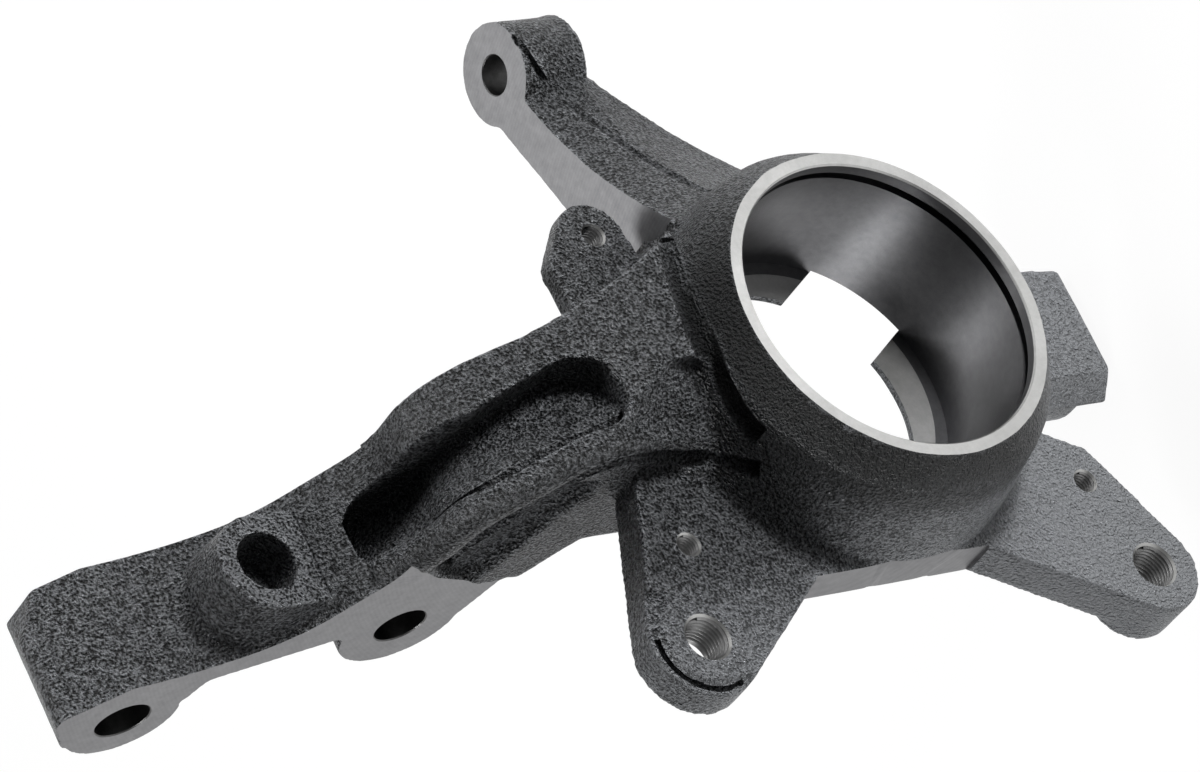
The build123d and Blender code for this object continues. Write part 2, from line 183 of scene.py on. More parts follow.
class ShaderGraph:
    """The node tree of a material or of the world, and the one method that adds its nodes."""

    # A Mix node repeats its sockets' names for each type of data, so its colours go by number.
    MIX_LOW = 6
    MIX_HIGH = 7
    MIX_RESULT = 2

    def __init__(self, owner: bpy.types.Material | bpy.types.World, coordinates: str = "Object") -> None:
        """Empties the owner's tree.

        Args:
            owner: The material or the world.
            coordinates: The texture coordinates that its patterns use.
        """
        owner.use_nodes = True
        self.owner = owner
        self.tree = owner.node_tree
        self.tree.nodes.clear()
        self.place = self.add("ShaderNodeTexCoord", output=coordinates)
        self.across, self.along, self.up = (
            self.add("ShaderNodeSeparateXYZ", {}, {"Vector": self.place}, output=axis) for axis in "XYZ"
        )

    def add(
        self, kind: str, settings: dict | None = None, inputs: dict | None = None, output: object = 0
    ) -> Signal:
        """Adds a node.

        Args:
            kind: The node's type.
            settings: Its properties, set before its sockets.
            inputs: Its sockets' values or signals, by name or number.
            output: The output to hand back, by name or number.

        Returns:
            The chosen output.
        """
        node = self.tree.nodes.new(kind)
        for name, value in (settings or {}).items():
            setattr(node, name, value)
        for name, value in (inputs or {}).items():
            if isinstance(value, Signal):
                self.tree.links.new(value.socket, node.inputs[name])
            else:
                node.inputs[name].default_value = value
        return Signal(self, node.outputs[output])

    def noise(self, scale: float, detail: float = 2.0, roughness: float = 0.5) -> Signal:
        """A noise texture on the graph's coordinates.

        Args:
            scale: Features per metre.
            detail: Octaves.
            roughness: How strong the finer octaves are.

        Returns:
            The noise, near 0.5.
        """
        inputs = {"Vector": self.place, "Scale": scale, "Detail": detail, "Roughness": roughness}
        return self.add("ShaderNodeTexNoise", {}, inputs, "Fac")

    def blend(self, factor: Signal, low: tuple[float, ...], high: tuple[float, ...]) -> Signal:
        """A colour between two.

        Args:
            factor: 0 for the first colour, 1 for the second.
            low: The first colour.
            high: The second colour.

        Returns:
            The colour.
        """
        inputs = {"Factor": factor, self.MIX_LOW: (*low, 1.0), self.MIX_HIGH: (*high, 1.0)}
        return self.add("ShaderNodeMix", {"data_type": "RGBA"}, inputs, self.MIX_RESULT)

    def bump(self, height: Signal, depth: float, under: Signal | None = None) -> Signal:
        """A bumped normal.

        Args:
            height: The height, in units of depth.
            depth: The depth in metres.
            under: A normal to bump on top of.

        Returns:
            The normal.
        """
        inputs = {"Height": height, "Distance": depth, "Strength": 1.0}
        if under is not None:
            inputs["Normal"] = under
        return self.add("ShaderNodeBump", {}, inputs, "Normal")

    def surface(self, inputs: dict) -> bpy.types.Material:
        """Ends the graph in a Principled shader.

        Args:
            inputs: The shader's values and signals.

        Returns:
            The finished material.
        """
        self.finish(self.add("ShaderNodeBsdfPrincipled", {}, inputs, "BSDF"))
        return self.owner

    def finish(self, shader: Signal, kind: str = "ShaderNodeOutputMaterial") -> None:
        """Links a shader to the tree's output.

        Args:
            shader: The shader.
            kind: The output node's type.
        """
        node = self.tree.nodes.new(kind)
        self.tree.links.new(shader.socket, node.inputs["Surface"])

    def background_ray(self) -> Signal:
        """Which rays show a background.

        Returns:
            1 for the camera's rays and for those that mirrors and glass send on, 0 for the others.
        """
        camera, glossy, transmission = (
            self.add("ShaderNodeLightPath", output=f"Is {kind} Ray")
            for kind in ("Camera", "Glossy", "Transmission")
        )
        return camera.or_more(glossy).or_more(transmission)


@dataclass(frozen=True)
class CoatedCasting:
    """Black coat over sand-cast iron: a coarse pebbled skin, with painted shade that blacks its pits and a
    painted highlight that greys its peaks.

    Places are in metres. Painted light, with some wear on the edges, sets the share of the peaks' grey that
    shows, and calm is how far the speckle sinks into an even grey.
    """

    # The pits' and peaks' colours: painted shade in the pebble's pits, painted highlight on its peaks.
    painted_pit_shade: tuple[float, float, float] = (0.005, 0.0055, 0.006)
    painted_peak_highlight: tuple[float, float, float] = (0.255, 0.264, 0.278)
    pebble: float = 1300.0
    pebble_depth: float = 0.0020
    pebble_height: Span = Span(0.28, 0.72)
    pebble_share: float = 0.75
    lump: float = 420.0
    lump_depth: float = 0.0010
    speckle: Span = Span(0.41, 0.62)
    patch: float = 24.0
    patch_edge: Span = Span(0.40, 0.60)
    gloss: float = 0.3
    roughness: float = 0.42
    peak_polish: float = 0.12
    patch_dulling: float = 0.08
    base_wear: float = 0.75
    # Painted light: the coat greyer towards the lower end, the strut arm's end and the ears' tips.
    lower_painted_light: Span = Span(-0.030, -0.062, 0.0, 1.2)
    arm_end_painted_light: Span = Span(0.150, 0.198, 0.0, 0.5)
    ear_side: Span = Span(-0.046, -0.070)
    # Painted shade: the coat blacker round the ring's collar, most on its shaded side.
    collar_reach: Span = Span(0.0500, 0.0575, 0.75, 0.0)
    collar_depth: Span = Span(0.012, 0.030, 1.0, 0.0)
    shaded_side: Span = Span(-0.02, 0.03, 0.25, 1.0)
    # Painted light: the coat greyer on the neck behind the ring, on its -X side.
    skirt_depth: Span = Span(0.013, 0.020)
    skirt_side: Span = Span(-0.020, -0.040)
    skirt_height: Span = Span(0.035, 0.005)
    skirt_painted_light: float = 1.1
    # Edges greyer from wear and a painted highlight; hollows blacker from painted shade.
    worn_and_lit_edge: Span = Span(0.515, 0.57, 0.0, 0.9)
    hollow_painted_shade: Span = Span(0.485, 0.44, 0.0, 0.5)
    # Painted highlight: the cross boss's face greyer.
    boss_x: float = -0.001
    boss_z: float = 0.149
    boss_rim: Span = Span(0.0170, 0.0130)
    boss_face: Span = Span(0.0852, 0.0843)
    boss_painted_highlight: float = 0.1
    calm_below: Span = Span(0.035, -0.045, 0.0, 0.65)
    calm_ear_height: Span = Span(-0.04, 0.02)
    calm_ear: float = 0.45
    calm_grey: float = 0.50
    calm_flattening: float = 0.7

    def painted_light_and_wear(self, g: ShaderGraph) -> Signal:
        """How grey the peaks are: painted light greys the lower end, the strut arm's end, the ears' tips, the
        cross boss's face, the neck behind the ring and the edges, and painted shade blackens the ring's
        collar on its shaded side and the hollows.

        Args:
            g: The material's graph.

        Returns:
            The share of the peaks' grey, from painted light and the edges' wear.
        """
        reach = (g.across * g.across + g.up * g.up).root()
        # Painted shade round the ring's collar, strongest on the shaded side.
        collar = reach.over(self.collar_reach) * g.along.over(self.collar_depth)
        shaded_side = (g.up - g.across).over(self.shaded_side)
        # Painted light on the neck behind the ring.
        skirt = g.along.over(self.skirt_depth) * g.across.over(self.skirt_side) * g.up.over(self.skirt_height)
        # Edges: wear and painted highlight. Hollows: painted shade.
        corner = g.add("ShaderNodeNewGeometry", output="Pointiness")
        edge_wear_and_painted_light = corner.over(self.worn_and_lit_edge) - corner.over(self.hollow_painted_shade)
        # Painted highlight on the cross boss's face.
        boss_x, boss_z = g.across - self.boss_x, g.up - self.boss_z
        boss = (boss_x * boss_x + boss_z * boss_z).root().over(self.boss_rim) * g.along.over(self.boss_face)
        # Painted light: greyer towards the lower end, the ears' tips and the strut arm's end.
        ends = g.up.over(self.lower_painted_light) + self.ear(g) + g.up.over(self.arm_end_painted_light)
        raised = ends + boss * self.boss_painted_highlight + skirt * self.skirt_painted_light + self.base_wear
        return raised - collar * shaded_side + edge_wear_and_painted_light

    def ear(self, g: ShaderGraph) -> Signal:
        """How near a place is to the ears' tips, 1 at the tips."""
        return g.across.over(self.ear_side)

    def build(self) -> bpy.types.Material:
        """Makes the material.

        Returns:
            The material.
        """
        g = ShaderGraph(bpy.data.materials.new(Finish.COAT.value))
        pebble, lump = g.noise(self.pebble), g.noise(self.lump)
        patch = g.noise(self.patch).over(self.patch_edge)
        height = pebble.over(self.pebble_height)
        # The speckle follows the pebble's height: painted shade in its pits, painted highlight on its peaks.
        speckle = (pebble * self.pebble_share + lump * (1.0 - self.pebble_share)).over(self.speckle)
        calm = g.up.over(self.calm_below) + self.ear(g) * self.calm_ear * g.up.over(self.calm_ear_height)
        even = speckle * (1.0 - calm) + calm * self.calm_grey
        colour = g.blend(even * self.painted_light_and_wear(g), self.painted_pit_shade, self.painted_peak_highlight)
        lumps = g.bump(lump, self.lump_depth)
        normal = g.bump(height * (1.0 - calm * self.calm_flattening), self.pebble_depth, lumps)
        rough = self.roughness - height * self.peak_polish + patch * self.patch_dulling
        return g.surface(
            {"Base Color": colour, "Roughness": rough, "Normal": normal, "Specular IOR Level": self.gloss}
        )


@dataclass(frozen=True)
class CutMetal:
    """Bare cast iron as a cutter leaves it: fine parallel grooves and a faint mottle, in metres."""

    finish: Finish
    dark: tuple[float, float, float]
    bright: tuple[float, float, float]
    roughness: float
    groove: float
    groove_depth: float
    groove_share: float = 0.06
    cutter_pivot: tuple[float, float, float] = (0.010, 0.020, 0.030)
    wobble: float = 60.0
    wobble_reach: float = 0.0006
    mottle: float = 420.0
    mottle_octaves: float = 4.0
    mottle_share: float = 0.5
    cloud: float = 45.0
    cloud_share: float = 0.38
    cloud_roughness: float = 0.12
    grain: float = 2600.0
    sharpness: float = 0.6
    grain_share: float = 0.25
    grain_roughness: float = 0.14
    grain_height: float = 0.35
    shade: Span = Span(0.36, 0.82)

    def path(self, g: ShaderGraph) -> Signal:
        """The distance that the tool advances over, across its grooves.

        Args:
            g: The material's graph.

        Returns:
            The distance in metres.
        """
        if self.finish is Finish.FACED:
            return (g.across * g.across + g.up * g.up).root()
        if self.finish is Finish.BORED:
            return g.along
        if self.finish is Finish.MILLED:
            axes = zip((g.across, g.along, g.up), self.cutter_pivot)
            x, y, z = (axis - centre for axis, centre in axes)
            return (y * y + z * z + x * x).root()
        return g.across + g.up

    def build(self) -> bpy.types.Material:
        """Makes the material.

        Returns:
            The material.
        """
        g = ShaderGraph(bpy.data.materials.new(self.finish.value))
        wobble = g.noise(self.wobble) * self.wobble_reach
        groove = ((self.path(g) + wobble) * (math.tau / self.groove)).sine() * 0.5 + 0.5
        mottle = g.noise(self.mottle, self.mottle_octaves, self.sharpness)
        cloud = g.noise(self.cloud)
        grain = g.noise(self.grain, roughness=self.sharpness)
        cut = groove * self.groove_share + mottle * self.mottle_share
        shade = (cut + cloud * self.cloud_share + grain * self.grain_share).over(self.shade)
        level = self.roughness - (self.grain_roughness + self.cloud_roughness) / 2
        rough = grain * self.grain_roughness + cloud * self.cloud_roughness + level
        return g.surface(
            {
                "Base Color": g.blend(shade, self.dark, self.bright),
                "Metallic": 1.0,
                "Roughness": rough,
                "Normal": g.bump(groove + grain * self.grain_height, self.groove_depth),
            }
        )


class Workshop:
    """The hand tools: selecting, adding primitives, joining, painting, cutting and applying modifiers."""

    @staticmethod
    def clear() -> None:
        """Deselects everything."""
        bpy.ops.object.select_all(action="DESELECT")

    @classmethod
    def take(cls, piece: bpy.types.Object) -> None:
        """Selects one object and makes it active.

        Args:
            piece: The object.
        """
        cls.clear()
        piece.select_set(True)
        bpy.context.view_layer.objects.active = piece

    @staticmethod
    @contextmanager
    def editing() -> Iterator[None]:
        """Edit mode on the active mesh, with all of it selected.

        Yields:
            Nothing, once all is selected.
        """
        bpy.ops.object.mode_set(mode="EDIT")
        bpy.ops.mesh.select_all(action="SELECT")
        yield
        bpy.ops.object.mode_set(mode="OBJECT")

    @classmethod
    def modify(cls, piece: bpy.types.Object, kind: str, **settings: object) -> None:
        """Adds a modifier and applies it.

        Args:
            piece: The object.
            kind: The modifier's type.
            **settings: Its properties.
        """
        cls.take(piece)
        modifier = piece.modifiers.new(kind.lower(), kind)
        for name, value in settings.items():
            setattr(modifier, name, value)
        bpy.ops.object.modifier_apply(modifier=modifier.name)

    @classmethod
    def join(cls, pieces: list[bpy.types.Object], name: str) -> bpy.types.Object:
        """Joins objects into the first.

        Args:
            pieces: The objects.
            name: The name of the result.

        Returns:
            The joined object.
        """
        cls.take(pieces[0])
        for piece in pieces:
            piece.select_set(True)
        bpy.ops.object.join()
        pieces[0].name = name
        return pieces[0]

    @classmethod
    def settle(cls, piece: bpy.types.Object) -> None:
        """Applies an object's place to its mesh."""
        cls.take(piece)
        bpy.ops.object.transform_apply(location=True, rotation=True, scale=True)

    @classmethod
    def close(cls, piece: bpy.types.Object) -> None:
        """Closes the hairline gaps that cutting leaves between a piece's faces.

        Args:
            piece: The piece.
        """
        cls.take(piece)
        with cls.editing():
            bpy.ops.mesh.remove_doubles(threshold=GAP)
            bpy.ops.mesh.dissolve_degenerate(threshold=WELD)
            bpy.ops.mesh.select_all(action="SELECT")
            bpy.ops.mesh.fill_holes(sides=0)

    @classmethod
    def cone(
        cls, start: Vector, direction: Vector, radius: float, end_radius: float, depth: float, sides: int = 96
    ) -> bpy.types.Object:
        """Adds a closed cone or cylinder, with its sizes in metres.

        Args:
            start: The centre of its first end.
            direction: Its axis.
            radius: The radius at the first end.
            end_radius: The radius at the other end.
            depth: Its length.
            sides: The number of its sides.

        Returns:
            The new object.
        """
        cls.clear()
        bpy.ops.mesh.primitive_cone_add(
            vertices=sides,
            radius1=radius,
            radius2=end_radius,
            depth=depth,
            location=start + direction * depth / 2,
            rotation=tuple(direction.to_track_quat("Z", "Y").to_euler()),
        )
        piece = bpy.context.object
        cls.settle(piece)
        return piece

    @classmethod
    def fillet_hollows(cls, piece: bpy.types.Object, reach: int, depth: float) -> None:
        """Rounds a mesh's inside corners and leaves its outside corners.

        Args:
            piece: The mesh object, of even triangles or quads.
            reach: How many rounds of smoothing the inside corners get.
            depth: The fill at which a corner counts as fully hollow, in millimetres.
        """
        cls.take(piece)
        bpy.ops.object.duplicate()
        guide = bpy.context.object
        cls.modify(guide, "SMOOTH", factor=0.5, iterations=reach)
        hollow = piece.vertex_groups.new(name="hollow")
        for vertex, far in zip(piece.data.vertices, guide.data.vertices):
            fill = (far.co - vertex.co).dot(vertex.normal) / MM
            if fill > 0.0:
                hollow.add([vertex.index], min(1.0, fill / depth), "REPLACE")
        bpy.data.objects.remove(guide, do_unlink=True)
        cls.modify(piece, "SMOOTH", factor=0.5, iterations=reach, vertex_group="hollow")
        piece.vertex_groups.clear()

    @staticmethod
    def paint(piece: bpy.types.Object, materials: list[bpy.types.Material], finish: Finish) -> None:
        """Gives an object every finish's slot and sets its faces to one.

        Args:
            piece: The object.
            materials: The materials, in the order of the slots.
            finish: The finish of its faces.
        """
        piece.data.materials.clear()
        for material in materials:
            piece.data.materials.append(material)
        piece.data.polygons.foreach_set("material_index", [finish.slot] * len(piece.data.polygons))

    @classmethod
    def cut(cls, piece: bpy.types.Object, tool: bpy.types.Object) -> None:
        """Cuts a tool out of a piece and removes the tool.

        Args:
            piece: The piece.
            tool: The tool, whose faces leave their finish behind.
        """
        cls.modify(
            piece, "BOOLEAN", operation="DIFFERENCE", object=tool, solver="EXACT", material_mode="INDEX"
        )
        bpy.data.objects.remove(tool, do_unlink=True)


@dataclass(frozen=True)
class Stock:
    """Extra metal on a plane that will be cut: the plane's axis and place, and the metal's height."""

    axis: int
    place: float
    height: float
    near: float = 0.02
    facing: float = 0.999

    def lay(self, piece: bpy.types.Object) -> None:
        """Thickens the plane.

        Args:
            piece: The blank.
        """
        Workshop.take(piece)
        bpy.ops.object.mode_set(mode="EDIT")
        bpy.ops.mesh.select_all(action="DESELECT")
        bpy.ops.object.mode_set(mode="OBJECT")
        sign = math.copysign(1.0, self.height)
        for face in piece.data.polygons:
            on_plane = abs(face.center[self.axis] / MM - self.place) < self.near
            face.select = on_plane and face.normal[self.axis] * sign > self.facing
        move = [0.0, 0.0, 0.0]
        move[self.axis] = self.height * MM
        bpy.ops.object.mode_set(mode="EDIT")
        bpy.ops.mesh.extrude_region_move(TRANSFORM_OT_translate={"value": move})
        bpy.ops.object.mode_set(mode="OBJECT")


@dataclass(frozen=True)
class Slab:
    """A straight-sided tool: an outline in two axes, swept along the third."""

    finish: Finish
    axis: int
    start: float
    end: float
    outline: Outline

    def build(self, materials: list[bpy.types.Material]) -> bpy.types.Object:
        """Draws the outline as a flat face and sweeps it.

        Args:
            materials: The materials, in the order of the slots.

        Returns:
            The tool.
        """
        Workshop.clear()
        bpy.ops.mesh.primitive_circle_add(vertices=len(self.outline), fill_type="NGON")
        piece = bpy.context.object
        for vertex, (first, second) in zip(piece.data.vertices, self.outline):
            place = [first, second]
            place.insert(self.axis, self.start)
            vertex.co = Vector(place) * MM
        sweep = [0.0, 0.0, 0.0]
        sweep[self.axis] = (self.end - self.start) * MM
        with Workshop.editing():
            bpy.ops.mesh.extrude_region_move(TRANSFORM_OT_translate={"value": sweep})
            bpy.ops.mesh.select_all(action="SELECT")
            bpy.ops.mesh.normals_make_consistent(inside=False)
        Workshop.paint(piece, materials, self.finish)
        return piece


@dataclass(frozen=True)
class Bar:
    """A round bar along a smooth path of points."""

    radius: float
    path: Path
    order: int = 3
    path_steps: int = 8
    round_steps: int = 5

    def build(self) -> bpy.types.Object:
        """Draws the path, thickens it and makes it a closed mesh.

        Returns:
            The new mesh object.
        """
        Workshop.clear()
        bpy.ops.curve.primitive_nurbs_path_add()
        piece = bpy.context.object
        curve = piece.data
        curve.splines.clear()
        spline = curve.splines.new("NURBS")
        spline.points.add(len(self.path) - 1)
        for point, place in zip(spline.points, self.path):
            point.co = (*(Vector(place) * MM), 1.0)
        spline.order_u = self.order
        spline.use_endpoint_u = True
        spline.resolution_u = self.path_steps
        curve.bevel_depth = self.radius * MM
        curve.bevel_resolution = self.round_steps
        curve.use_fill_caps = True
        Workshop.take(piece)
        bpy.ops.object.convert(target="MESH")
        piece = bpy.context.object
        with Workshop.editing():
            bpy.ops.mesh.remove_doubles(threshold=WELD)
            bpy.ops.mesh.normals_make_consistent(inside=False)
        return piece


@dataclass(frozen=True)
class Hole:
    """A round hole, and the plug that fills it until it is cut.

    Attributes:
        finish: The finish of its wall.
        mouth: The centre of its mouth.
        into: Its axis, into the casting.
        radius: Its radius at the mouth.
        end_radius: Its radius at the far end.
        depth: Its depth.
        countersink: How far its mouth is bevelled.
        plug_lead: How far its plug stands out of the mouth.
        plug_short: How far its plug stops before the far end.
    """

    finish: Finish
    mouth: Place
    into: Place
    radius: float
    end_radius: float
    depth: float
    countersink: float
    plug_lead: float = 0.0
    plug_short: float = 0.5
    plug_wall: float = 0.9
    drill_lead: float = 3.0
    sink_lift: float = 1.0
    sink_run_on: float = 0.4

    def plug(self) -> bpy.types.Object:
        """Fills the hole.

        Returns:
            The cylinder that fills it.
        """
        start, into = Vector(self.mouth), Vector(self.into)
        radius = (max(self.radius, self.end_radius) + self.plug_wall) * MM
        depth = (self.depth - self.plug_short + self.plug_lead) * MM
        return Workshop.cone((start - into * self.plug_lead) * MM, into, radius, radius, depth, sides=48)

    def drill(self, materials: list[bpy.types.Material]) -> bpy.types.Object:
        """The drill or reamer, which starts a little outside the mouth.

        Args:
            materials: The materials, in the order of the slots.

        Returns:
            The tool.
        """
        start, into = Vector(self.mouth) * MM, Vector(self.into)
        slope = (self.end_radius - self.radius) / self.depth
        near = self.radius - slope * self.drill_lead
        lead = into * self.drill_lead * MM
        length = (self.depth + self.drill_lead) * MM
        tool = Workshop.cone(start - lead, into, near * MM, self.end_radius * MM, length)
        Workshop.paint(tool, materials, self.finish)
        return tool

    def sink(self, materials: list[bpy.types.Material]) -> bpy.types.Object:
        """The countersink that bevels the mouth.

        Args:
            materials: The materials, in the order of the slots.

        Returns:
            The tool.
        """
        start, into = Vector(self.mouth) * MM, Vector(self.into)
        wide = self.radius + self.countersink
        tool = Workshop.cone(
            start - into * self.sink_lift * MM,
            into,
            (wide + self.sink_lift) * MM,
            (wide - self.countersink - self.sink_run_on) * MM,
            (self.sink_lift + self.countersink + self.sink_run_on) * MM,
        )
        Workshop.paint(tool, materials, Finish.FACED if self.finish is Finish.THREAD else self.finish)
        return tool


@dataclass(frozen=True)
class ThreadSize:
    """A thread's outer and inner radius, its pitch and the depth that it starts at."""

    major: float
    minor: float
    pitch: float
    start: float


M12 = ThreadSize(major=6.0, minor=5.32, pitch=1.25, start=0.5)
M6 = ThreadSize(major=3.0, minor=2.46, pitch=1.0, start=0.4)


@dataclass(frozen=True)
class TappedHole:
    """A tapped hole: its drilled wall, and its thread as a thin sleeve that lines it."""

    name: str
    mouth: Place
    length: float
    size: ThreadSize
    clearance: float = 0.02
    crest_clearance: float = 0.08
    crest: tuple[float, float] = (0.80, 1.20)
    run_out: float = 1.0
    bevel: float = 0.1
    steps: int = 72
    crisp_angle: float = 25.0

    def hole(self) -> Hole:
        """The thread's own hole.

        Returns:
            The hole that the thread lines.
        """
        radius = self.size.major + self.clearance
        return Hole(
            Finish.THREAD,
            self.mouth,
            BACK,
            radius,
            radius,
            depth=self.length + self.run_out,
            countersink=self.size.start + self.bevel,
            plug_short=self.run_out,
        )

    def outline(self) -> Outline:
        """One turn of the thread, in section.

        Returns:
            The radius and depth of the turn's two roots and of its crest's two edges.
        """
        size, half = self.size, self.size.pitch / 2
        return (
            (size.major + self.clearance, size.start),
            (size.major + self.clearance, size.start + size.pitch),
            (size.minor + self.crest_clearance, size.start + half * self.crest[0]),
            (size.minor + self.crest_clearance, size.start + half * self.crest[1]),
        )

    def build(self, materials: list[bpy.types.Material]) -> bpy.types.Object:
        """Winds the thread's ridge down the hole.

        Args:
            materials: The materials, in the order of the slots.

        Returns:
            The thread.
        """
        Workshop.clear()
        bpy.ops.mesh.primitive_plane_add(size=MM)
        piece = bpy.context.object
        piece.name = self.name
        for vertex, (radius, depth) in zip(piece.data.vertices, self.outline()):
            vertex.co = Vector((radius, 0.0, depth)) * MM
        with Workshop.editing():
            bpy.ops.mesh.delete(type="ONLY_FACE")
        Workshop.modify(
            piece,
            "SCREW",
            axis="Z",
            angle=math.tau,
            screw_offset=self.size.pitch * MM,
            iterations=int((self.length - self.size.start) / self.size.pitch) - 1,
            steps=self.steps,
            render_steps=self.steps,
            use_merge_vertices=True,
            merge_threshold=WELD,
        )
        piece.rotation_euler = (-math.pi / 2, 0, 0)
        piece.location = Vector(self.mouth) * MM
        Workshop.settle(piece)
        Workshop.paint(piece, materials, Finish.THREAD)
        Workshop.take(piece)
        with Workshop.editing():
            bpy.ops.mesh.normals_make_consistent(inside=False)
        bpy.ops.object.shade_smooth_by_angle(angle=math.radians(self.crisp_angle))
        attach(piece, "root")
        return piece


@dataclass
class HubBore:
    """The bearing seat: faced ring, chamfered mouth, snap-ring groove, bored wall and relieved shoulder."""

    radius: float = 42.0
    mouth_chamfer: float = 0.45
    groove_y: float = 3.4
    groove_width: float = 2.4
    groove_depth: float = 2.3
    shoulder_y: float = 44.0
    relief: float = 0.8
    shoulder_face_radius: float = 37.8
    ring_radius: float = 45.6
    collar_slope: float = 6.4 / 9.0
    stock: float = 1.2
    facing_reach: float = 8.0
    facing_lead: float = 3.0
    plug_wall: float = 0.3
    plug_run_on: float = 1.9
    rim_depth: float = 1.0
    steps: int = 180

    def profile(self) -> list[tuple[float, float]]:
        """The boring tool's outline.

        Returns:
            The radius and depth of each corner.
        """
        wall, groove_wall = self.radius, self.radius + self.groove_depth
        outer = self.ring_radius + self.facing_reach
        groove_end = self.groove_y + self.groove_width
        relieved_y = self.shoulder_y + self.relief
        return [
            (0.0, -self.facing_lead),
            (outer, -self.facing_lead),
            (outer, 0.0),
            (wall + self.mouth_chamfer, 0.0),
            (wall, self.mouth_chamfer),
            (wall, self.groove_y),
            (groove_wall, self.groove_y),
            (groove_wall, groove_end),
            (wall, groove_end),
            (wall, relieved_y),
            (self.shoulder_face_radius, relieved_y),
            (self.shoulder_face_radius, self.shoulder_y),
            (0.0, self.shoulder_y),
        ]

    def plugs(self) -> list[bpy.types.Object]:
        """Stock that fills the bore and thickens the ring's face, so that both can be cut crisply.

        Returns:
            The bore's plug and the ring's stock.
        """
        start, into = Vector((0, -self.stock, 0)) * MM, Vector(BACK)
        radius = (self.radius + self.groove_depth + self.plug_wall) * MM
        length = (self.shoulder_y + self.plug_run_on + self.stock) * MM
        rim_front = (self.ring_radius - self.collar_slope * self.stock) * MM
        rim_back = (self.ring_radius + self.collar_slope * self.rim_depth) * MM
        return [
            Workshop.cone(start, into, radius, radius, length),
            Workshop.cone(start, into, rim_front, rim_back, (self.stock + self.rim_depth) * MM),
        ]

    def tool(self, materials: list[bpy.types.Material]) -> bpy.types.Object:
        """The boring tool: its outline spun round the hub's axis.

        Args:
            materials: The materials, in the order of the slots.

        Returns:
            The tool.
        """
        corners = self.profile()
        Workshop.clear()
        bpy.ops.mesh.primitive_circle_add(vertices=len(corners), fill_type="NOTHING")
        piece = bpy.context.object
        for vertex, (radius, depth) in zip(piece.data.vertices, corners):
            vertex.co = Vector((radius, depth, 0.0)) * MM
        with Workshop.editing():
            bpy.ops.mesh.spin(steps=self.steps, angle=math.tau, center=(0, 0, 0), axis=(0, 1, 0))
            bpy.ops.mesh.select_all(action="SELECT")
            bpy.ops.mesh.remove_doubles(threshold=WELD)
            bpy.ops.mesh.normals_make_consistent(inside=False)
        Workshop.settle(piece)
        Workshop.paint(piece, materials, Finish.BORED)
        for face in piece.data.polygons:
            depth = face.center.y / MM
            flat = abs(face.normal.y) > 0.5
            if flat and (depth < self.mouth_chamfer or abs(depth - self.shoulder_y) < 0.1):
                face.material_index = Finish.FACED.slot
        return piece


@dataclass
class Shoulder:
    """The open middle of the bearing's shoulder, about the hub's axis, and the notch through its lower side.

    Angles are in degrees.
    """

    front: float = 43.9
    back: float = 52.0
    inner_radius: float = 31.5
    arc_x: float = -4.6
    arc_z: float = 8.3
    arc_radius: float = 36.8
    arc_start: float = -15.5
    arc_turn: float = 301.0
    arc_steps: int = 72
    notch_inner: float = 42.0
    notch_outer: float = 64.0
    notch_start: float = -69.0
    notch_end: float = -30.0

    @staticmethod
    def polar(radius: float, degrees: float) -> tuple[float, float]:
        """The point at this radius and angle about the hub's axis."""
        return (radius * math.cos(math.radians(degrees)), radius * math.sin(math.radians(degrees)))

    def reach(self, degrees: float) -> float:
        """The opening's radius at this angle: the nearer of its two arcs.

        Args:
            degrees: The angle about the hub's axis.

        Returns:
            The distance from the hub's axis.
        """
        turn = math.radians(degrees)
        along = self.arc_x * math.cos(turn) + self.arc_z * math.sin(turn)
        off = self.arc_x**2 + self.arc_z**2 - along**2
        return min(self.inner_radius, along + math.sqrt(self.arc_radius**2 - off))

    def opening(self) -> Slab:
        """The tool for the open middle and the notch.

        Returns:
            The tool.
        """
        corners = [
            self.polar(self.notch_outer, self.notch_start),
            self.polar(self.notch_outer, self.notch_end),
            self.polar(self.notch_inner, self.notch_end),
        ]
        for step in range(self.arc_steps + 1):
            angle = self.arc_start + step * self.arc_turn / self.arc_steps
            corners.append(self.polar(self.reach(angle), angle))
        corners.append(self.polar(self.notch_inner, self.notch_start))
        return Slab(Finish.COAT, 1, self.front, self.back, tuple(corners))


